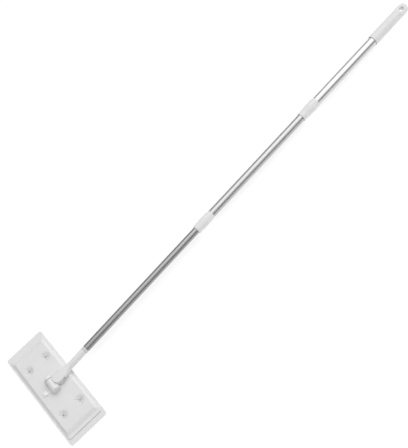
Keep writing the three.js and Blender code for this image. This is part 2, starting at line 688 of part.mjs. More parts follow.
/** Adds one named piece to a group. */
function addPiece(group, name, geometry, finish, position = [0, 0, 0]) {
  const mesh = new THREE.Mesh(geometry, new THREE.MeshStandardMaterial(finish));
  mesh.name = name;
  mesh.position.set(...position);
  group.add(mesh);
}

const wiper = new THREE.Group();

const head = new THREE.Group();
addPiece(head, 'sole_pad', solePad(), foam);
addPiece(head, 'base_plate', basePlate(), whitePlastic);
addPiece(head, 'top_cover', topCover(), whitePlastic);
grippers.forEach(([x, y], i) => {
  addPiece(head, `cloth_gripper_${i + 1}`, gripperDish(), elastomer, [x, y, PANEL_TOP]);
});
coverScrews.forEach(([x, y], i) => {
  addPiece(head, `cover_screw_${i + 1}`, screw(), steel, [x, y, PLATE_BOTTOM + GAP / 2]);
});
cradleScrews.forEach(([x, y], i) => {
  addPiece(head, `cradle_screw_${i + 1}`, screw(), steel, [x, y, PLATE_BOTTOM + GAP / 2]);
});
addPiece(head, 'neck_rest', neckRest(), glossPlastic);
addPiece(head, 'joint_cradle', jointCradle(), whitePlastic);
addPiece(head, 'pitch_pin', pitchPin(), steel);
wiper.add(head);

// The knuckle turns about the pitch axis and carries the pole on the swing axis.
const joint = new THREE.Group();
joint.position.set(0, 0, PIVOT_HEIGHT);
joint.rotation.x = LIE_ANGLE;
addPiece(joint, 'knuckle', knuckle(), whitePlastic);
addPiece(joint, 'swing_pin', swingPin(), steel);
wiper.add(joint);

const pole = new THREE.Group();
pole.position.set(0, SWING_REACH, 0);
pole.rotation.z = REST_SWING;
addPiece(pole, 'neck_adapter', neckAdapter(), whitePlastic);
addPiece(pole, 'pole_tip', poleTip(), innerPlastic);
addPiece(pole, 'lower_tube', tube(LOWER_TUBE), aluminium);
addPiece(pole, 'lower_guide_bush', guideBush(LOWER_TUBE, MIDDLE_TUBE), innerPlastic);
addPiece(pole, 'lower_collet', collet(LOWER_LOCK, LOWER_TUBE, MIDDLE_TUBE), innerPlastic);
addPiece(pole, 'lower_lock_collar', lockCollar(LOWER_LOCK, LOWER_TUBE, MIDDLE_TUBE), whitePlastic);
addPiece(pole, 'middle_tube', tube(MIDDLE_TUBE), aluminium);
addPiece(pole, 'middle_guide_bush', guideBush(MIDDLE_TUBE, TOP_TUBE), innerPlastic);
addPiece(pole, 'upper_collet', collet(UPPER_LOCK, MIDDLE_TUBE, TOP_TUBE), innerPlastic);
addPiece(pole, 'upper_lock_collar', lockCollar(UPPER_LOCK, MIDDLE_TUBE, TOP_TUBE), whitePlastic);
addPiece(pole, 'top_tube', tube(TOP_TUBE), aluminium);
addPiece(pole, 'grip_sleeve', gripSleeve(), whitePlastic);
addPiece(pole, 'grip_cap', gripCap(), whitePlastic);
joint.add(pole);

export default wiper;
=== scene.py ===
"""Looks of a telescopic floor wiper: flat head, universal joint, three tubes, two locks and a grip.

Shapes are built in millimetres, in the frame of the part that they belong to, and placed in metres.
"""

import json
import math

import bmesh
import bpy
import numpy as np
from mathutils import Matrix, Vector, noise


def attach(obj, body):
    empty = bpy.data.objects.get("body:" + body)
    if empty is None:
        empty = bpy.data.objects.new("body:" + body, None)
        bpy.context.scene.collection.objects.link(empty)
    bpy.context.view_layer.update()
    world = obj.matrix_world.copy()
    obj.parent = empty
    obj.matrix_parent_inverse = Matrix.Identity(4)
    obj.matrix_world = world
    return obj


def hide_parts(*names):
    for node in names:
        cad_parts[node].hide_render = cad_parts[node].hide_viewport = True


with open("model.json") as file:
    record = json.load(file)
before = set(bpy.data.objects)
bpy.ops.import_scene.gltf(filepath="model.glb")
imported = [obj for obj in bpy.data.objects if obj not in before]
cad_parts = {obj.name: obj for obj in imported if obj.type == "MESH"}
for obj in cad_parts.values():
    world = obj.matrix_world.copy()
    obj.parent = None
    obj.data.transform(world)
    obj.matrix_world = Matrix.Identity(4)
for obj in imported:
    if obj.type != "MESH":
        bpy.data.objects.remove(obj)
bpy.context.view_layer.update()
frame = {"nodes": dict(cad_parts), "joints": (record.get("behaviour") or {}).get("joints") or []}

MM = 0.001
TURN = 2 * math.pi
QUARTER = math.pi / 2

# ---------------------------------------------------------------- dimensions, in millimetres

GAP = 0.3
OVERCUT = 1  # how far a cutting tool runs past a face
HEAD = (280, 108)
HEAD_CORNER = 5
SOLE = (276, 104)
SOLE_TOP = 5.0
PLATE = (5.3, 8.8)
PLATE_EDGE = 2
PLATE_ROUNDING = 1.1
COVER = (255, 95.6)
COVER_CORNER = 4
COVER_BOTTOM = 9.1
SHELF_TOP = 11.5
SHELF = (238, 94.6)
PANEL = (220, 84.6)
PANEL_TOP = 16.5
PANEL_BOTTOM = 14.3
GRIPPERS = ((-72.5, -25.5), (72.5, -25.5), (-72.5, 25.5), (72.5, 25.5))
GRIPPER_RADIUS = 14.2
GRIPPER_SEAM = 0.04
COVER_SCREWS = ((-100, -28), (100, -28), (-100, 28), (100, 28))
CRADLE_SCREWS = ((-17, 0), (17, 0))
SCREW_HOLE = 1.7
SCREW_HEAD_HOLE = 3.5
SCREW_RECESS = 2
SCREW_PILOT = 4.8
REST_AT = (2, -27)
REST_HEIGHT = 2.4

PIVOT_HEIGHT = 27
CRADLE = (46, 28)
CRADLE_CORNER = 10
CRADLE_BOTTOM = 16.8
CRADLE_TOP = 17.5
EAR = (12.3, 20)
EAR_RADIUS = 11
KNUCKLE_RADIUS = 9.2
PITCH_PIN = 3.0
SWING_PIN = 2.5
SWING_REACH = 20
KNUCKLE_HALF_LENGTH = 12
KNUCKLE_EDGE = 1.2
TONGUE_RADIUS = 11.7
TONGUE_HALF = 4
FORK_RADIUS = 13
FORK_THICKNESS = 18
FORK_EDGE = 2.2
FORK_SLOT = 4.3

# Distances along the pole from the swing axis.
NECK_RADIUS = 8.5
NECK_END = 86
NECK_TAPER = (6, 36)
NECK_TAPER_STATIONS = (0, 3, *range(6, 38, 2))
FORK_CORNER = 4.8
SOCKET = (6.5, 52)
TUBES = {
    "lower_tube": (9.0, 93, 564),
    "middle_tube": (10.5, 484, 964),
    "top_tube": (12.0, 890, 1242),
}
TUBE_WALL = 1.0
SLEEVE = (14.4, 1141, 1197)
CAP_RADIUS = 14
CAP_START = 1197.3
CAP_DOME = 1257
CAP_END = 1273
CAP_FLATS = (1243, 9.5)
CAP_ROLL = math.radians(16)
HANG_HOLE = (1245.8, 1261)
HANG_HOLE_WIDTH = 11


# ---------------------------------------------------------------- frames of the moving parts


def frame_of(origin, across, along, up):
    """A placing matrix from three unit axes and an origin in metres."""
    placed = Matrix((across, along, up)).transposed().to_4x4()
    placed.translation = origin
    return placed


joints = {joint["name"]: joint for joint in frame["joints"]}
pitch_axis = Vector(joints["head_pitch"]["axis"]).normalized()
swing_axis = Vector(joints["neck_swing"]["axis"]).normalized()
pole_axis = Vector(joints["lower_slide"]["axis"]).normalized()
HEAD_FRAME = Matrix.Identity(4)
JOINT_FRAME = frame_of(
    Vector(joints["head_pitch"]["pos_m"]), pitch_axis, swing_axis.cross(pitch_axis), swing_axis
)
POLE_FRAME = frame_of(
    Vector(joints["neck_swing"]["pos_m"]), pole_axis.cross(swing_axis), pole_axis, swing_axis
)


# ---------------------------------------------------------------- outlines


CORNER_SHARE = 0.48  # the most of an edge that a rounded corner takes
TINY = 1e-6


def soften(points, reach, steps=5, closed=False):
    """The same line with its corners rounded. reach is one distance, or one for each point."""
    points = [np.array(p, float) for p in points]
    count = len(points)
    reaches = reach if hasattr(reach, "__len__") else [reach] * count
    out = []
    for i, corner in enumerate(points):
        if reaches[i] <= 0 or (not closed and i in (0, count - 1)):
            out.append(corner)
            continue
        before = points[i - 1] - corner
        after = points[(i + 1) % count] - corner
        length_before = np.linalg.norm(before)
        length_after = np.linalg.norm(after)
        start = corner + before * min(reaches[i] / length_before, CORNER_SHARE)
        end = corner + after * min(reaches[i] / length_after, CORNER_SHARE)
        for k in range(steps + 1):
            t = k / steps
            out.append((1 - t) ** 2 * start + 2 * t * (1 - t) * corner + t**2 * end)
    return [tuple(p) for p in out]


def spline(controls, steps):
    """A smooth line through some points."""
    points = [np.array(p, float) for p in controls]
    points = [2 * points[0] - points[1], *points, 2 * points[-1] - points[-2]]
    out = []
    for i in range(1, len(points) - 2):
        a, b, c, d = points[i - 1 : i + 3]
        for k in range(steps):
            t = k / steps
            out.append(
                0.5
                * (
                    2 * b
                    + (c - a) * t
                    + (2 * a - 5 * b + 4 * c - d) * t**2
                    + (3 * b - a - 3 * c + d) * t**3
                )
            )
    out.append(points[-2])
    return [tuple(p) for p in out]


def rounded_ring(length, width, corner, height, steps=12):
    """A rounded rectangle at one height, anticlockwise from above."""
    x, y = length / 2 - corner, width / 2 - corner
    ring = []
    for quarter, (cx, cy) in enumerate(((x, y), (-x, y), (-x, -y), (x, -y))):
        for step in range(steps + 1):
            angle = (quarter + step / steps) * QUARTER
            ring.append((cx + corner * math.cos(angle), cy + corner * math.sin(angle), height))
    return ring


# ---------------------------------------------------------------- mesh making


def new_object(name, bm):
    """A linked object from a bmesh."""
    bmesh.ops.recalc_face_normals(bm, faces=bm.faces[:])
    mesh = bpy.data.meshes.new(name)
    bm.to_mesh(mesh)
    bm.free()
    obj = bpy.data.objects.new(name, mesh)
    bpy.context.scene.collection.objects.link(obj)
    return obj


def bridge(bm, low, high):
    """Faces between two rings of vertices, either of which may be a single point."""
    count = max(len(low), len(high))
    for i in range(count):
        j = (i + 1) % count
        if len(low) == 1:
            bm.faces.new((low[0], high[j], high[i]))
        elif len(high) == 1:
            bm.faces.new((low[i], low[j], high[0]))
        else:
            bm.faces.new((low[i], low[j], high[j], high[i]))


def turned(name, profile, sides=96, reshape=None):
    """A profile of (radius, along) turned about Y. It closes unless it ends on the axis."""
    bm = bmesh.new()
    rings = []
    for radius, along in profile:
        if radius < TINY:
            rings.append([bm.verts.new((0, along, 0))])
            continue
        ring = []
        for i in range(sides):
            angle = TURN * i / sides
            r = reshape(radius, along, angle) if reshape else radius
            ring.append(bm.verts.new((r * math.sin(angle), along, r * math.cos(angle))))
        rings.append(ring)
    for low, high in zip(rings, rings[1:]):
        bridge(bm, low, high)
    if len(rings[0]) > 1:
        bridge(bm, rings[-1], rings[0])
    return new_object(name, bm)


def turned_bar(radius, half, edge):
    """A short round bar along Y with rounded edges."""
    line = soften([(0, -half), (radius, -half), (radius, half), (0, half)], edge)
    return turned("bar", line)


def lofted(name, rings):
    """A closed skin over rings of points."""
    bm = bmesh.new()
    loops = [[bm.verts.new(p) for p in ring] for ring in rings]
    for low, high in zip(loops, loops[1:]):
        bridge(bm, low, high)
    bm.faces.new(loops[0][::-1])
    bm.faces.new(loops[-1])
    return new_object(name, bm)


def rod(radius, low, high, axis="Z", at=(0, 0), sides=64):
    """A plain cutting or joining rod along one axis."""
    rings = []
    for level in (low, high):
        ring = []
        for i in range(sides):
            u = radius * math.cos(TURN * i / sides)
            v = radius * math.sin(TURN * i / sides)
            if axis == "Z":
                ring.append((at[0] + u, at[1] + v, level))
            elif axis == "X":
                ring.append((level, at[0] + u, at[1] + v))
            else:
                ring.append((at[0] + u, level, at[1] + v))
        rings.append(ring)
    return lofted("rod", rings)


def block(low, high):
    """A plain cutting or joining block."""
    corners = [(low[0], low[1]), (high[0], low[1]), (high[0], high[1]), (low[0], high[1])]
    return lofted("block", [[(x, y, z) for x, y in corners] for z in (low[2], high[2])])


def spin(obj, angle, axis):
    """Turns a mesh about an axis through its origin."""
    obj.data.transform(Matrix.Rotation(angle, 4, axis))
    return obj


def bake(obj):
    """Applies an object's modifiers."""
    depsgraph = bpy.context.evaluated_depsgraph_get()
    mesh = bpy.data.meshes.new_from_object(obj.evaluated_get(depsgraph), depsgraph=depsgraph)
    obj.modifiers.clear()
    old = obj.data
    obj.data = mesh
    bpy.data.meshes.remove(old)
    return obj


def combine(obj, operation, others):
    """Adds other solids to one or cuts them from it, and removes them."""
    for other in others:
        modifier = obj.modifiers.new("combine", "BOOLEAN")
        modifier.operation = operation
        modifier.object = other
        modifier.solver = "EXACT"
    bake(obj)
    for other in others:
        bpy.data.objects.remove(other)
    return obj


SMOOTH_FACTOR = 0.5


def moulded(obj, voxel, smoothing):
    """Remeshes a solid finely and smooths it, so that every edge has a small radius."""
    remesh = obj.modifiers.new("remesh", "REMESH")
    remesh.mode = "VOXEL"
    remesh.voxel_size = voxel
    remesh.adaptivity = 0
    smooth = obj.modifiers.new("smooth", "SMOOTH")
    smooth.factor = SMOOTH_FACTOR
    smooth.iterations = smoothing
    return bake(obj)


def place(obj, name, body, nodes, finish, where, crease=35):
    """Names, shades, places and mounts one piece. A crease of None leaves no sharp edges."""
    obj.name = name
    obj.data.name = name
    obj.data.transform(Matrix.Scale(MM, 4))
    obj.data.shade_smooth()
    if crease is not None:
        obj.data.set_sharp_from_angle(angle=math.radians(crease))
        weighted = obj.modifiers.new("weighted", "WEIGHTED_NORMAL")
        weighted.keep_sharp = True
    obj.data.materials.clear()
    obj.data.materials.append(finish)
    obj.matrix_world = where
    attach(obj, body)
    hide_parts(*nodes)
    return obj


# ---------------------------------------------------------------- materials


NOISE_RANGE = (0.3, 0.7)  # where most of a noise texture's values lie


class Finish:
    """A Principled material, with short ways to add nodes to it."""

    def __init__(self, name, **sockets):
        self.material = bpy.data.materials.new(name)
        self.material.use_nodes = True
        self.nodes = self.material.node_tree.nodes
        self.links = self.material.node_tree.links
        self.shader = self.nodes["Principled BSDF"]
        for socket, value in sockets.items():
            self.shader.inputs[socket.replace("_", " ")].default_value = value
        self.place = self.nodes.new("ShaderNodeTexCoord").outputs["Object"]

    def stretched(self, scale):
        """Object coordinates scaled along each axis."""
        mapping = self.nodes.new("ShaderNodeMapping")
        mapping.inputs["Scale"].default_value = scale
        self.links.new(self.place, mapping.inputs["Vector"])
        return mapping.outputs["Vector"]

    def noise(self, scale, detail=2.0, where=None):
        """Noise of a scale in repeats per metre, or along stretched coordinates."""
        texture = self.nodes.new("ShaderNodeTexNoise")
        texture.inputs["Scale"].default_value = scale
        texture.inputs["Detail"].default_value = detail
        self.links.new(where or self.place, texture.inputs["Vector"])
        return texture.outputs["Fac"]

    def cells(self, scale):
        """Rounded cells, in repeats per metre."""
        texture = self.nodes.new("ShaderNodeTexVoronoi")
        texture.feature = "SMOOTH_F1"
        texture.inputs["Scale"].default_value = scale
        self.links.new(self.place, texture.inputs["Vector"])
        return texture.outputs["Distance"]

    def spread(self, value, low, high):
        """Maps a texture value to a range."""
        node = self.nodes.new("ShaderNodeMapRange")
        node.inputs["From Min"].default_value = NOISE_RANGE[0]
        node.inputs["From Max"].default_value = NOISE_RANGE[1]
        node.inputs["To Min"].default_value = low
        node.inputs["To Max"].default_value = high
        self.links.new(value, node.inputs["Value"])
        return node.outputs["Result"]

    def colour(self, value, low, high):
        """Base colour between two colours."""
        mix = self.nodes.new("ShaderNodeMix")
        mix.data_type = "RGBA"
        mix.inputs["A"].default_value = (*low, 1)
        mix.inputs["B"].default_value = (*high, 1)
        self.links.new(self.spread(value, 0, 1), mix.inputs["Factor"])
        self.links.new(mix.outputs["Result"], self.shader.inputs["Base Color"])

    def roughness(self, value, low, high):
        self.links.new(self.spread(value, low, high), self.shader.inputs["Roughness"])

    def bump(self, height, distance_mm, strength=1.0):
        """Adds relief on top of any relief already there."""
        node = self.nodes.new("ShaderNodeBump")
        node.inputs["Distance"].default_value = distance_mm * MM
        node.inputs["Strength"].default_value = strength
        self.links.new(height, node.inputs["Height"])
        target = self.shader.inputs["Normal"]
        if target.is_linked:
            self.links.new(target.links[0].from_socket, node.inputs["Normal"])
        self.links.new(node.outputs["Normal"], target)


def grey(value):
    return (min(1, value),) * 3


MOTTLE_SCALE = 38
MOTTLE = (0.985, 1.012)
GLOSS_SCALE = 160
GLOSS_SPREAD = (0.88, 1.12)
MOULD_TEXTURE_SCALE = 1900
SINK_SCALE = 26
SINK_MM = 0.05
DRAWN_LINES = (900, 6, 900)
DRAWN_BANDS = (160, 1.5, 160)
DRAWN_SHADES = (0.94, 1.03)
DRAWN_GLOSS = (0.88, 1.15)
TURNED_LINES = (900, 900, 60)
METAL_RELIEF_MM = 0.006


def plastic(name, value, rough, texture_mm=0.012, specular=0.45, coat=0.0):
    """Moulded white plastic: faint mottling, an eroded-mould texture and uneven gloss."""
    finish = Finish(
        name, Roughness=rough, IOR=1.47, Specular_IOR_Level=specular, Coat_Weight=coat
    )
    mottle = finish.noise(MOTTLE_SCALE, detail=3)
    finish.colour(mottle, *(grey(value * part) for part in MOTTLE))
    gloss = finish.noise(GLOSS_SCALE, detail=4)
    finish.roughness(gloss, *(rough * part for part in GLOSS_SPREAD))
    finish.bump(finish.noise(MOULD_TEXTURE_SCALE, detail=3), texture_mm, strength=0.6)
    finish.bump(finish.noise(SINK_SCALE, detail=1), SINK_MM, strength=0.35)
    return finish.material


def aluminium(name, value, rough):
    """Drawn and anodised tube: fine lines along the pole, soft bands and a wide sheen round it."""
    finish = Finish(name, Metallic=1.0, Roughness=rough, Anisotropic=0.55)
    tangent = finish.nodes.new("ShaderNodeTangent")
    tangent.direction_type = "RADIAL"
    tangent.axis = "Y"
    finish.links.new(tangent.outputs["Tangent"], finish.shader.inputs["Tangent"])
    lines = finish.noise(1, detail=5, where=finish.stretched(DRAWN_LINES))
    broad = finish.noise(1, detail=2, where=finish.stretched(DRAWN_BANDS))
    finish.colour(lines, *(grey(value * part) for part in DRAWN_SHADES))
    finish.roughness(broad, *(rough * part for part in DRAWN_GLOSS))
    finish.bump(lines, METAL_RELIEF_MM, strength=0.5)
    return finish.material


def steel(name):
    """Plain pin and screw steel with turning marks."""
    finish = Finish(name, Metallic=1.0, Roughness=0.34)
    marks = finish.noise(1, detail=4, where=finish.stretched(TURNED_LINES))
    finish.colour(marks, low=(0.5, 0.505, 0.515), high=(0.62, 0.625, 0.63))
    finish.roughness(finish.noise(scale=300, detail=3), low=0.27, high=0.42)
    finish.bump(marks, METAL_RELIEF_MM, strength=0.5)
    return finish.material


def elastomer(name):
    """Soft gripper rubber: matt, slightly greyer than the panel, with a powdery grain."""
    finish = Finish(name, Roughness=0.62, Specular_IOR_Level=0.35, IOR=1.45)
    finish.colour(finish.noise(scale=120, detail=4), low=grey(0.83), high=grey(0.86))
    finish.roughness(finish.noise(scale=500, detail=3), low=0.55, high=0.7)
    finish.bump(finish.noise(scale=2600, detail=3), distance_mm=0.02, strength=0.7)
    return finish.material


def foam(name):
    """Closed-cell sole foam: small cells, a dry surface and slight mottling."""
    finish = Finish(name, Roughness=0.9, Specular_IOR_Level=0.25)
    finish.colour(
        finish.noise(scale=60, detail=4), low=(0.62, 0.625, 0.63), high=(0.70, 0.705, 0.71)
    )
    finish.bump(finish.cells(scale=1500), distance_mm=0.12, strength=0.7)
    finish.bump(finish.noise(scale=220, detail=3), distance_mm=0.15, strength=0.4)
    return finish.material


HEAD_PLASTIC = plastic("head_plastic", value=0.86, rough=0.42)
JOINT_PLASTIC = plastic("joint_plastic", value=0.86, rough=0.38)
COLLAR_PLASTIC = plastic("collar_plastic", value=0.92, rough=0.34)
GRIP_PLASTIC = plastic("grip_plastic", value=0.90, rough=0.36)
INNER_PLASTIC = plastic("inner_plastic", value=0.76, rough=0.5, texture_mm=0.02)
GLOSS_PLASTIC = plastic(
    "gloss_plastic", value=0.97, rough=0.15, texture_mm=0.002, specular=1.0, coat=1.0
)
ELASTOMER = elastomer("gripper_elastomer")
FOAM = foam("sole_foam")
STEEL = steel("steel")
# The three tubes are one aluminium given three colours. This is painted shade, darker towards the
# head, with a painted highlight on the top tube, copying how the tubes' reflections brighten along
# the pole.
TUBE_METAL_PAINTED_SHADE = {
    "lower_tube": aluminium("lower_aluminium", value=0.40, rough=0.32),
    "middle_tube": aluminium("middle_aluminium", value=0.55, rough=0.31),
    "top_tube": aluminium("top_aluminium", value=0.70, rough=0.29),
}


# ---------------------------------------------------------------- head

SOLE_PITCH = 1.6
SOLE_GROOVE_EVERY = 5
SOLE_GROOVE_DEPTH = 0.7
SOLE_GROOVE_START = 2
SOLE_PLAIN_BORDER = 2
SOLE_EDGE = [(2.2, 0), (0.25, 0), (0, 2.4), (0.2, SOLE_TOP), (2.2, SOLE_TOP)]
SOLE_ROUNDING = 1.1


def into_rounded(x, y, size, corner):
    """Moves a point of a rectangle into the same rectangle with round corners."""
    dx, dy = abs(x) - (size[0] / 2 - corner), abs(y) - (size[1] / 2 - corner)
    if dx <= 0 or dy <= 0:
        return x, y
    scale = max(dx, dy) / math.hypot(dx, dy)
    return (
        math.copysign(size[0] / 2 - corner + dx * scale, x),
        math.copysign(size[1] / 2 - corner + dy * scale, y),
    )


def sole_pad():
    """Foam slab with a soft edge, slightly bulging sides and a grid of shallow grooves beneath."""
    columns = round(SOLE[0] / SOLE_PITCH)
    rows = round(SOLE[1] / SOLE_PITCH)
    levels = soften(SOLE_EDGE, SOLE_ROUNDING, steps=4)
    bm = bmesh.new()

    def sheet(level):
        inset, z = levels[level]
        points = {}
        for i in range(columns + 1):
            for j in range(rows + 1):
                x = (i / columns - 0.5) * SOLE[0]
                y = (j / rows - 0.5) * SOLE[1]
                x, y = into_rounded(x, y, SOLE, HEAD_CORNER)
                x *= 1 - 2 * inset / SOLE[0]
                y *= 1 - 2 * inset / SOLE[1]
                across = SOLE_PLAIN_BORDER < i < columns - SOLE_PLAIN_BORDER
                along = SOLE_PLAIN_BORDER < j < rows - SOLE_PLAIN_BORDER
                on_line = i % SOLE_GROOVE_EVERY == 0
                on_line = on_line or (j + SOLE_GROOVE_START) % SOLE_GROOVE_EVERY == 0
                groove = across and along and on_line and level == 0
                lift = SOLE_GROOVE_DEPTH if groove else 0
                points[i, j] = bm.verts.new((x, y, z + lift))
        for i in range(columns):
            for j in range(rows):
                corners = ((i, j), (i + 1, j), (i + 1, j + 1), (i, j + 1))
                bm.faces.new([points[c] for c in corners])
        edge = [points[i, 0] for i in range(columns)]
        edge += [points[columns, j] for j in range(rows)]
        edge += [points[i, rows] for i in range(columns, 0, -1)]
        edge += [points[0, j] for j in range(rows, 0, -1)]
        return edge

    bottom = sheet(0)
    top = sheet(len(levels) - 1)
    loops = [bottom]
    bottom_inset = levels[0][0]
    for inset, z in levels[1:-1]:
        ring = []
        for low in bottom:
            x = low.co.x / (1 - 2 * bottom_inset / SOLE[0]) * (1 - 2 * inset / SOLE[0])
            y = low.co.y / (1 - 2 * bottom_inset / SOLE[1]) * (1 - 2 * inset / SOLE[1])
            ring.append(bm.verts.new((x, y, z)))
        loops.append(ring)
    loops.append(top)
    for low, high in zip(loops, loops[1:]):
        bridge(bm, low, high)
    return new_object("sole", bm)


def ring_stack(name, profile, steps=12):
    """A loft of rounded rectangles from (length, width, corner, height) rows."""
    return lofted(name, [rounded_ring(*row, steps=steps) for row in profile])


def base_plate():
    """Flat plate with a rounded rim and stepped screw holes."""
    low, high = PLATE
    inner = (HEAD[0] - 2 * PLATE_EDGE, HEAD[1] - 2 * PLATE_EDGE, HEAD_CORNER - PLATE_EDGE)
    rim = (*HEAD, HEAD_CORNER)
    rows = soften([(*inner, low), (*rim, low), (*rim, high), (*inner, high)], PLATE_ROUNDING)
    plate = ring_stack("plate", rows)
    holes = []
    for at in (*COVER_SCREWS, *CRADLE_SCREWS):
        holes.append(rod(SCREW_HEAD_HOLE, low - OVERCUT, low + SCREW_RECESS, at=at, sides=32))
        holes.append(rod(SCREW_HOLE, low, high + OVERCUT, at=at, sides=24))
    return combine(plate, "DIFFERENCE", holes)


FOOT_GROOVE = 0.8
SHELF_RISE = 0.15
PANEL_EDGE = 4
PANEL_INNER_CORNER = 2.5
COVER_ROUNDINGS = (0, 0.2, 0.2, 0.7, 0.8, 1.3, 0)
HOLLOW_INSET = (11.3, 2.8)
HOLLOW_STEP = 0.4
PANEL_INSET = 1.1
SCREW_BOSS = 3.8
CRADLE_BOSS_HOLE = 4.8
REST_STEM_HOLE = 2.3


def pilot_holes(places):
    """Cutting rods for the screws' threads."""
    low, high = COVER_BOTTOM - OVERCUT, COVER_BOTTOM + SCREW_PILOT
    return [rod(SCREW_HOLE, low, high, at=at, sides=24) for at in places]


def top_cover():
    """Stepped cover: upright edge, level shelf at the short ends, slopes and a level panel."""
    length, width = COVER
    foot = (length - 2 * FOOT_GROOVE, width - 2 * FOOT_GROOVE, COVER_CORNER - FOOT_GROOVE)
    outer = soften(
        [
            (*foot, COVER_BOTTOM),
            (*foot, COVER_BOTTOM + FOOT_GROOVE),
            (length, width, COVER_CORNER, COVER_BOTTOM + FOOT_GROOVE),
            (length, width, COVER_CORNER, SHELF_TOP),
            (*SHELF, COVER_CORNER, SHELF_TOP + SHELF_RISE),
            (*PANEL, COVER_CORNER, PANEL_TOP),
            (PANEL[0] - 2 * PANEL_EDGE, PANEL[1] - 2 * PANEL_EDGE, PANEL_INNER_CORNER, PANEL_TOP),
        ],
        COVER_ROUNDINGS,
        steps=6,
    )
    cover = ring_stack("cover", outer)
    mouth = (length - 2 * HOLLOW_INSET[0], width - 2 * HOLLOW_INSET[1], COVER_CORNER)
    ceiling = (PANEL[0] - 2 * PANEL_INSET, PANEL[1] - 2 * PANEL_INSET, COVER_CORNER)
    hollow = ring_stack(
        "hollow",
        [
            (*mouth, COVER_BOTTOM - OVERCUT),
            (*mouth, COVER_BOTTOM + HOLLOW_STEP),
            (*ceiling, PANEL_BOTTOM),
        ],
    )
    combine(cover, "DIFFERENCE", [hollow])
    bosses = [
        rod(SCREW_BOSS, COVER_BOTTOM, PANEL_BOTTOM + GAP, at=at, sides=32) for at in COVER_SCREWS
    ]
    combine(cover, "UNION", bosses)
    low, high = PANEL_BOTTOM - OVERCUT, PANEL_TOP + OVERCUT
    holes = [rod(GRIPPER_RADIUS + GRIPPER_SEAM, low, high, at=at, sides=96) for at in GRIPPERS]
    holes += [rod(CRADLE_BOSS_HOLE, low, high, at=at, sides=32) for at in CRADLE_SCREWS]
    holes += pilot_holes(COVER_SCREWS)
    holes.append(rod(REST_STEM_HOLE, low, high, at=REST_AT, sides=24))
    return combine(cover, "DIFFERENCE", holes)


DISH_DEPTH = 3.0
DISH_WALL = 1.2
SLIT_REACH = 11.0
SLIT_WIDTH = 0.6
SLIT_CUT = (-9, 3)
SLIT_HUB = 1.3
DISH_STEPS = 22
DISH_RIM_BOTTOM = -2.2
PETALS = 8
PETAL_ANGLE = TURN / PETALS
DROOP = 0.35
DROOP_VARIATION = 0.45
DROOP_SHAPE = 1.5
PETAL_STEP = 3.7  # steps through the noise from petal to petal
DISH_STEP = 5.3  # and from dish to dish


def gripper_dish(seed):
    """Elastomer dish whose slits part eight petals that sag a little unevenly at the middle."""
    radii = [GRIPPER_RADIUS * k / DISH_STEPS for k in range(DISH_STEPS, -1, -1)]

    def top_at(radius):
        return -DISH_DEPTH * (1 - (radius / GRIPPER_RADIUS) ** 2) ** 2

    top = [(radius, top_at(radius)) for radius in radii]
    bottom = [(radius, top_at(radius) - DISH_WALL) for radius in reversed(radii)]
    bottom[-1] = (GRIPPER_RADIUS, DISH_RIM_BOTTOM)
    dish = spin(turned("dish", [*bottom, *top], sides=128), QUARTER, "X")
    slits = []
    half = SLIT_WIDTH / 2
    low, high = SLIT_CUT
    for i in range(PETALS // 2):
        slit = block((-SLIT_REACH, -half, low), (SLIT_REACH, half, high))
        slits.append(spin(slit, i * PETAL_ANGLE, "Z"))
    slits.append(rod(SLIT_HUB, low, high, sides=24))
    combine(dish, "DIFFERENCE", slits)
    for vertex in dish.data.vertices:
        radius = math.hypot(vertex.co.x, vertex.co.y)
        if radius >= SLIT_REACH:
            continue
        petal = int((math.atan2(vertex.co.y, vertex.co.x) + TURN) / PETAL_ANGLE - TINY) % PETALS
        chance = noise.noise(Vector((petal * PETAL_STEP, seed * DISH_STEP, 0.5)))
        droop = DROOP + DROOP_VARIATION * chance
        vertex.co.z -= droop * (1 - radius / SLIT_REACH) ** DROOP_SHAPE
    return dish


REST_SIDES = (11, 12, 12, 8, 2)
REST_CORNERS = (1.6, 2.2, 2.2, 2, 0.8)
REST_ROUNDINGS = (0, 0.3, 1.3, 2.2, 0)
REST_CROWN = 1
REST_STEM = 2


def neck_rest():
    """Square stud with a domed top and a stem in the cover."""
    x, y = REST_AT
    low, high = CRADLE_BOTTOM, CRADLE_BOTTOM + REST_HEIGHT
    heights = (low, low, high - REST_CROWN, high, high)
    sections = zip(REST_SIDES, REST_SIDES, REST_CORNERS, heights)
    rows = soften(sections, REST_ROUNDINGS, steps=8)
    pad = ring_stack("rest", rows)
    pad.data.transform(Matrix.Translation((x, y, 0)))
    stem = rod(REST_STEM, PANEL_BOTTOM, low + GAP, at=REST_AT, sides=24)
    return combine(pad, "UNION", [stem])


# ---------------------------------------------------------------- joint


EAR_STEPS = 36
EAR_ROUNDING = 3.5
EAR_ROUNDING_STEPS = 8
CRADLE_BEVEL = 0.5
CRADLE_BOSS = 4.5
PITCH_BORE = (-24, 17)
KNUCKLE_BORE = 13
TONGUE_BORE = 6


def ear():
    """One cradle ear on the +X side, with a rounded outer end."""
    foot = CRADLE_BOTTOM + GAP - PIVOT_HEIGHT
    outline = [(-EAR_RADIUS, foot)]
    for step in range(EAR_STEPS + 1):
        angle = math.pi * (1 - step / EAR_STEPS)
        outline.append((EAR_RADIUS * math.cos(angle), EAR_RADIUS * math.sin(angle)))
    outline.append((EAR_RADIUS, foot))
    inner, outer = EAR
    sections = [(inner, 0), (outer - EAR_ROUNDING, 0)]
    for step in range(1, EAR_ROUNDING_STEPS + 1):
        angle = step / EAR_ROUNDING_STEPS * QUARTER
        x = outer - EAR_ROUNDING * (1 - math.sin(angle))
        sections.append((x, EAR_ROUNDING * (1 - math.cos(angle))))
    rings = []
    for x, inset in sections:
        shrink = 1 - inset / EAR_RADIUS
        rings.append(
            [(x, y * shrink, PIVOT_HEIGHT + (z * shrink if z > 0 else z)) for y, z in outline]
        )
    return lofted("ear", rings)


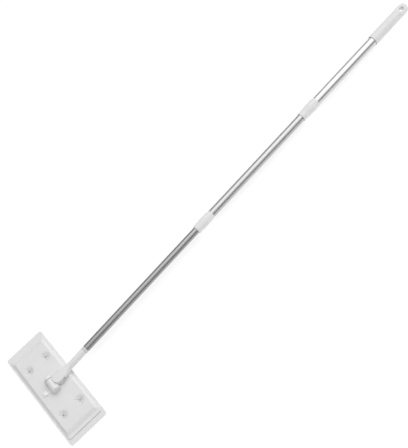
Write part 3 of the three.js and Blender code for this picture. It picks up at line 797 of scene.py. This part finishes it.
def joint_cradle():
    """Low foot with two ears and two screw bosses."""
    shoulder = (CRADLE[0] - 2 * CRADLE_BEVEL, CRADLE[1] - 2 * CRADLE_BEVEL)
    rows = [
        (*CRADLE, CRADLE_CORNER, CRADLE_BOTTOM),
        (*shoulder, CRADLE_CORNER - CRADLE_BEVEL, CRADLE_TOP),
    ]
    cradle = ring_stack("cradle", rows, steps=24)
    other = spin(ear(), math.pi, "Z")
    combine(cradle, "UNION", [ear(), other])
    top = CRADLE_BOTTOM + GAP
    bosses = [rod(CRADLE_BOSS, COVER_BOTTOM, top, at=at, sides=48) for at in CRADLE_SCREWS]
    combine(cradle, "UNION", bosses)
    bore = rod(PITCH_PIN + GAP, *PITCH_BORE, axis="X", at=(0, PIVOT_HEIGHT), sides=48)
    combine(cradle, "DIFFERENCE", [bore, *pilot_holes(CRADLE_SCREWS)])
    return moulded(cradle, voxel=0.35, smoothing=4)


def knuckle():
    """Barrel on the pitch pin, hollowed for the fork, with a round-ended tongue."""
    barrel = turned_bar(KNUCKLE_RADIUS, KNUCKLE_HALF_LENGTH, KNUCKLE_EDGE)
    body = spin(barrel, -QUARTER, "Z")
    swing = (0, SWING_REACH)
    hollow = FORK_RADIUS + GAP
    half, far = TONGUE_HALF, KNUCKLE_HALF_LENGTH
    recesses = [rod(hollow, *ends, at=swing, sides=96) for ends in ((half, far), (-far, -half))]
    combine(body, "DIFFERENCE", recesses)
    tongue = block((-TONGUE_RADIUS, 0, -half), (TONGUE_RADIUS, SWING_REACH, half))
    tongue_end = rod(TONGUE_RADIUS, -half, half, at=swing, sides=96)
    combine(body, "UNION", [tongue, tongue_end])
    bores = [
        rod(PITCH_PIN + GAP, -KNUCKLE_BORE, KNUCKLE_BORE, axis="X", sides=48),
        rod(SWING_PIN + GAP, -TONGUE_BORE, TONGUE_BORE, at=swing, sides=48),
    ]
    combine(body, "DIFFERENCE", bores)
    return moulded(body, voxel=0.4, smoothing=3)


def smoothstep(value, low, high):
    """0 below low, 1 above high and a smooth change between them."""
    t = min(1, max(0, (value - low) / (high - low)))
    return t * t * (3 - 2 * t)


SOCKET_LIP = ((0.8, 0), (0.2, 0.5), (0, 1.4))  # distance from the end and narrowing
SLOT_REACH = 14
LEAST_FLAT = 0.01
SWING_BORE_COVER = 2


def neck_adapter():
    """Fork, taper and socket about the swing axis, with the pole along +Y."""
    half = FORK_THICKNESS / 2
    fork = spin(turned_bar(FORK_RADIUS, half, FORK_EDGE), QUARTER, "X")
    rings = []
    stations = [(along, 0) for along in NECK_TAPER_STATIONS]
    stations += [(NECK_END - back, narrowing) for back, narrowing in SOCKET_LIP]
    for along, shrink in stations:
        taper = smoothstep(along, *NECK_TAPER)
        width = 2 * (FORK_RADIUS + (NECK_RADIUS - FORK_RADIUS) * taper) - shrink
        thickness = FORK_THICKNESS + (2 * NECK_RADIUS - FORK_THICKNESS) * taper - shrink
        corner = FORK_CORNER + (NECK_RADIUS - FORK_CORNER) * taper - shrink / 2
        corner = min(corner, thickness / 2 - LEAST_FLAT)
        ring = rounded_ring(width, thickness, corner, along)
        rings.append([(x, z, -y) for x, y, z in ring])
    combine(fork, "UNION", [lofted("taper", rings)])
    slot_end = TONGUE_RADIUS + 2 * GAP
    tools = [
        block((-SLOT_REACH, -SLOT_REACH, -FORK_SLOT), (SLOT_REACH, slot_end, FORK_SLOT)),
        rod(SWING_PIN + GAP, -FORK_THICKNESS, half - SWING_BORE_COVER, sides=48),
        rod(*SOCKET, NECK_END + OVERCUT, axis="Y", sides=64),
    ]
    combine(fork, "DIFFERENCE", tools)
    return moulded(fork, voxel=0.4, smoothing=4)


# ---------------------------------------------------------------- pole


TIP_BORE = 3.9
TIP_CORE = 5.5
TIP_CREST = 6.2
TIP_FLANGE = 8.8
TIP_FLANGE_EDGE = 8.5
TIP_PLUG = 7.7
TIP_ENDS = (54, 118.7)
THREAD = (56, 80)
THREAD_PITCH = 3.5
THREAD_CREST = (1.2, 1.8)
THREAD_FOOT = 3
FLANGE_ENDS = (86.3, 92.7)
FLANGE_SIDES = (86.7, 92.3)


def pole_tip():
    """Threaded end piece with a flange that shows between the neck and the lower tube."""
    start, end = TIP_ENDS
    line = [(TIP_BORE, start), (TIP_CORE, start)]
    along = THREAD[0]
    while along < THREAD[1]:
        rise, fall = THREAD_CREST
        line += [(TIP_CORE, along), (TIP_CREST, along + rise)]
        line += [(TIP_CREST, along + fall), (TIP_CORE, along + THREAD_FOOT)]
        along += THREAD_PITCH
    low, high = FLANGE_ENDS
    line += [(TIP_CORE, low), (TIP_FLANGE_EDGE, low)]
    line += [(TIP_FLANGE, along) for along in FLANGE_SIDES]
    line += [(TIP_FLANGE_EDGE, high), (TIP_PLUG, high), (TIP_PLUG, end), (TIP_BORE, end)]
    return turned("tip", line)


TUBE_EDGE = 0.3


def tube(name):
    """One drawn tube with broken edges."""
    radius, start, end = TUBES[name]
    bore = radius - TUBE_WALL
    line = [(bore, start), (radius, start), (radius, end), (bore, end)]
    line = soften(line, TUBE_EDGE, steps=3, closed=True)
    return turned(name, line, sides=128)


LOWER_LOCK = {
    "start": 477,
    "outline": ((0, 11.25), (8, 12), (19, 12.4), (32, 12.4), (45, 12), (54, 11.5)),
    "seam": 23,
    "bore": (9.3, 10.5, 11.6, 10.8),
    "steps": (1.4, 5.3, 8.1, 47),
}
UPPER_LOCK = {
    "start": 864,
    "outline": ((0, 12.25), (13, 12.7), (26, 13.5), (38, 13.8), (48, 13.6), (56, 12.9)),
    "seam": 24,
    "bore": (10.8, 11.8, 13.0, 12.3),
    "steps": (1.4, 24.3, 27.1, 49),
}
LIP_ROUNDING = 1.1
END_ROUNDING = 1.6
FLUTE_FADE_IN = (0.06, 0.3)
FLUTE_FADE_OUT = (0.78, 0.97)
BARREL_STEPS = 10
SEAM_MARGIN = 1
SEAM_DEPTH = 0.35
SEAM_HALF = 0.45
SKIN = 1  # a point further than this below the outline keeps its radius
FLUTES = 6
FLUTE_DEPTH = 0.45


def lock_collar(lock):
    """Twist collar: smooth barrel with broad shallow flats, a ring seam and a stepped bore."""
    start, seam = lock["start"], lock["seam"]
    barrel = spline(lock["outline"], BARREL_STEPS)
    length = barrel[-1][0]
    distances, radii = zip(*barrel)
    low = [(a, r) for a, r in barrel if a < seam - SEAM_MARGIN]
    high = [(a, r) for a, r in barrel if a > seam + SEAM_MARGIN]
    radius = np.interp(seam, distances, radii)
    groove = [
        (seam - SEAM_HALF, radius),
        (seam - SEAM_HALF / 3, radius - SEAM_DEPTH),
        (seam + SEAM_HALF / 3, radius - SEAM_DEPTH),
        (seam + SEAM_HALF, radius),
    ]
    outside = [(r, start + a) for a, r in (*low[1:], *groove, *high[:-1])]
    mouth, jaw, sleeve, end_bore = lock["bore"]
    lip, jaw_end, sleeve_start, sleeve_end = lock["steps"]
    first, last = barrel[0][1], barrel[-1][1]
    line = [(mouth, start)]
    line += soften([(mouth, start), (first, start), outside[0]], LIP_ROUNDING)[1:-1]
    line += outside
    end = start + length
    line += soften([outside[-1], (last, end), (end_bore, end)], END_ROUNDING)[1:-1]
    line += [
        (end_bore, end),
        (end_bore, start + sleeve_end),
        (sleeve, start + sleeve_end),
        (sleeve, start + sleeve_start),
        (jaw, start + jaw_end),
        (jaw, start + lip),
        (mouth, start + lip),
    ]

    def fluted(r, along, angle):
        share = (along - start) / length
        fade = smoothstep(share, *FLUTE_FADE_IN) * (1 - smoothstep(share, *FLUTE_FADE_OUT))
        if r < np.interp(along - start, distances, radii) - SKIN:
            return r
        return r - FLUTE_DEPTH * fade * (0.5 - 0.5 * math.cos(FLUTES * angle))

    return turned("collar", line, sides=144, reshape=fluted)


GRIP_BORE = 12.3
SLEEVE_ROUNDINGS = (0.2, 1.2, 0.5, 0.2)
PLUG_BORE = 9.2
PLUG_RADIUS = 10.7
PLUG_START = 1212
CAP_CEILING = (1240.5, 1242.3)
CAP_BEVEL = 0.3
DOME_STEPS = 24
DOME_FULLNESS = 0.6
HOLE_CUT = 20


def grip_sleeve():
    """Lower grip ring over the top tube."""
    radius, start, end = SLEEVE
    line = [(GRIP_BORE, start), (radius, start), (radius, end), (GRIP_BORE, end)]
    line = soften(line, SLEEVE_ROUNDINGS, steps=6, closed=True)
    return turned("sleeve", line, sides=128)


def grip_cap():
    """Upper grip with a domed end, flats and a hanging hole."""
    inner, outer = CAP_CEILING
    outline = [(0, inner), (PLUG_BORE, inner), (PLUG_BORE, PLUG_START), (PLUG_RADIUS, PLUG_START)]
    outline += [(PLUG_RADIUS, outer), (GRIP_BORE, outer), (GRIP_BORE, CAP_START)]
    outline += [(CAP_RADIUS - CAP_BEVEL, CAP_START), (CAP_RADIUS, CAP_START + CAP_BEVEL)]
    for step in range(DOME_STEPS):
        angle = step / DOME_STEPS * QUARTER
        along = CAP_DOME + (CAP_END - CAP_DOME) * math.sin(angle)
        outline.append((CAP_RADIUS * math.cos(angle) ** DOME_FULLNESS, along))
    outline.append((0, CAP_END))
    cap = turned("cap", outline, sides=128)
    far = 2 * CAP_RADIUS
    half = HANG_HOLE_WIDTH / 2
    centres = (HANG_HOLE[0] + half, HANG_HOLE[1] - half)
    flat_start, flat_height = CAP_FLATS
    tools = [
        block((-far, flat_start, flat_height), (far, CAP_END + OVERCUT, far)),
        block((-far, flat_start, -far), (far, CAP_END + OVERCUT, -flat_height)),
    ]
    tools += [rod(half, -HOLE_CUT, HOLE_CUT, at=(0, along), sides=64) for along in centres]
    tools.append(block((-half, centres[0], -HOLE_CUT), (half, centres[1], HOLE_CUT)))
    combine(cap, "DIFFERENCE", [spin(tool, CAP_ROLL, "Y") for tool in tools])
    return moulded(cap, voxel=0.45, smoothing=5)


PIN_EDGE = 0.5
PITCH_PIN_ENDS = (-18, 16)
SWING_PIN_ENDS = (-8.7, 6.7)


def pin(radius, low, high, axis):
    """Turned pin with rounded ends."""
    line = soften([(0, low), (radius, low), (radius, high), (0, high)], PIN_EDGE, steps=3)
    obj = turned("pin", line, sides=48)
    if axis == "X":
        return spin(obj, -QUARTER, "Z")
    return spin(obj, QUARTER, "X")


# ---------------------------------------------------------------- assembly

sole = place(sole_pad(), "foam_sole", "head", ["sole_pad"], FOAM, HEAD_FRAME)
place(
    base_plate(), "moulded_base", "head", ["base_plate"], HEAD_PLASTIC,
    HEAD_FRAME,
)
place(
    top_cover(), "moulded_cover", "head", ["top_cover"], HEAD_PLASTIC,
    HEAD_FRAME,
)
for number, (x, y) in enumerate(GRIPPERS, start=1):
    where = Matrix.Translation((x * MM, y * MM, PANEL_TOP * MM))
    place(
        gripper_dish(number), f"slit_gripper_{number}", "head", [f"cloth_gripper_{number}"],
        ELASTOMER, where,
    )
place(
    neck_rest(), "neck_rest_stud", "head", ["neck_rest"], GLOSS_PLASTIC,
    HEAD_FRAME,
)
place(
    joint_cradle(), "moulded_cradle", "head", ["joint_cradle"], HEAD_PLASTIC,
    HEAD_FRAME, crease=None,
)
pitch = pin(PITCH_PIN, *PITCH_PIN_ENDS, "X")
pitch.data.transform(Matrix.Translation((0, 0, PIVOT_HEIGHT)))
place(pitch, "turned_pitch_pin", "head", ["pitch_pin"], STEEL, HEAD_FRAME)

place(
    knuckle(), "moulded_knuckle", "knuckle", ["knuckle"], JOINT_PLASTIC,
    JOINT_FRAME, crease=None,
)
swing = pin(SWING_PIN, *SWING_PIN_ENDS, "Z")
swing.data.transform(Matrix.Translation((0, SWING_REACH, 0)))
place(swing, "turned_swing_pin", "knuckle", ["swing_pin"], STEEL, JOINT_FRAME)

place(
    neck_adapter(), "moulded_neck", "lower_pole", ["neck_adapter"], JOINT_PLASTIC,
    POLE_FRAME, crease=None,
)
place(
    pole_tip(), "threaded_tip", "lower_pole", ["pole_tip"], INNER_PLASTIC,
    POLE_FRAME,
)
TUBE_BODIES = {"lower_tube": "lower_pole", "middle_tube": "middle_pole", "top_tube": "upper_pole"}
for name, body in TUBE_BODIES.items():
    place(tube(name), f"drawn_{name}", body, [name], TUBE_METAL_PAINTED_SHADE[name], POLE_FRAME)
for name, lock in (("lower", LOWER_LOCK), ("upper", UPPER_LOCK)):
    place(
        lock_collar(lock), f"{name}_twist_collar", f"{name}_lock", [f"{name}_lock_collar"],
        COLLAR_PLASTIC, POLE_FRAME,
    )
place(
    grip_sleeve(), "moulded_sleeve", "upper_pole", ["grip_sleeve"], GRIP_PLASTIC,
    POLE_FRAME,
)
place(
    grip_cap(), "moulded_cap", "upper_pole", ["grip_cap"], GRIP_PLASTIC,
    POLE_FRAME, crease=None,
)

KEPT = {
    "lower_guide_bush": INNER_PLASTIC,
    "middle_guide_bush": INNER_PLASTIC,
    "lower_collet": INNER_PLASTIC,
    "upper_collet": INNER_PLASTIC,
    "cradle_screw_1": STEEL,
    "cradle_screw_2": STEEL,
}
for number in range(1, len(COVER_SCREWS) + 1):
    KEPT[f"cover_screw_{number}"] = STEEL
for node, finish in KEPT.items():
    frame["nodes"][node].data.materials.clear()
    frame["nodes"][node].data.materials.append(finish)

# ---------------------------------------------------------------- floor, light and camera

FLOOR_HALF = 9.0
FLOOR_DROP = 0.0001
FLOOR_GLOW = 0.75
SKY_HORIZON = 0.18
SKY_OVERHEAD = 0.32
LAMP_DIRECTION = (-0.12, 0.5, 0.86)
LAMP_FOCUS = 5.0
LAMP_STRENGTH = 1.85
CAMERA_LENS = 68.304
CAMERA_SENSOR = 36.0
CAMERA_PLACE = (0.95283, 0.29791, 1.8103)
CAMERA_TURN = (25.743, 15.174, 48.975)  # degrees


def studio_floor():
    """A plain pale floor that glows a little, so that it has no dark shadow."""
    floor = Finish("studio_floor", Roughness=0.8, Specular_IOR_Level=0.1)
    floor.colour(floor.noise(scale=3), low=grey(0.34), high=grey(0.36))
    floor.shader.inputs["Emission Color"].default_value = (1, 1, 1, 1)
    floor.shader.inputs["Emission Strength"].default_value = FLOOR_GLOW
    bm = bmesh.new()
    bmesh.ops.create_grid(bm, x_segments=4, y_segments=4, size=FLOOR_HALF)
    obj = new_object("studio_floor", bm)
    obj.data.materials.append(floor.material)
    obj.location.z = -FLOOR_DROP


def studio_light():
    """A soft sky, brighter overhead and brightest towards one broad lamp."""
    world = bpy.data.worlds.new("studio")
    world.use_nodes = True
    nodes, links = world.node_tree.nodes, world.node_tree.links
    direction = nodes.new("ShaderNodeTexCoord").outputs["Generated"]

    def facing(target):
        dot = nodes.new("ShaderNodeVectorMath")
        dot.operation = "DOT_PRODUCT"
        dot.inputs[1].default_value = Vector(target).normalized()
        links.new(direction, dot.inputs[0])
        return dot.outputs["Value"]

    def maths(operation, a, b, clamp=False):
        node = nodes.new("ShaderNodeMath")
        node.operation = operation
        node.use_clamp = clamp
        for socket, value in zip(node.inputs, (a, b)):
            if isinstance(value, (int, float)):
                socket.default_value = value
            else:
                links.new(value, socket)
        return node.outputs["Value"]

    overhead = maths("MULTIPLY", maths("MAXIMUM", facing((0, 0, 1)), 0.0), SKY_OVERHEAD)
    lamp = maths("POWER", maths("MAXIMUM", facing(LAMP_DIRECTION), 0.0), LAMP_FOCUS)
    lamp = maths("MULTIPLY", lamp, LAMP_STRENGTH)
    total = maths("ADD", maths("ADD", overhead, lamp), SKY_HORIZON)
    nodes["Background"].inputs["Color"].default_value = (1, 1, 1, 1)
    links.new(total, nodes["Background"].inputs["Strength"])
    bpy.context.scene.world = world


def camera():
    data = bpy.data.cameras.new("camera")
    data.lens = CAMERA_LENS
    data.sensor_width = CAMERA_SENSOR
    obj = bpy.data.objects.new("camera", data)
    obj.location = CAMERA_PLACE
    obj.rotation_euler = [math.radians(angle) for angle in CAMERA_TURN]
    bpy.context.scene.collection.objects.link(obj)
    bpy.context.scene.camera = obj


studio_floor()
studio_light()
camera()
bpy.context.scene.view_settings.view_transform = "Standard"
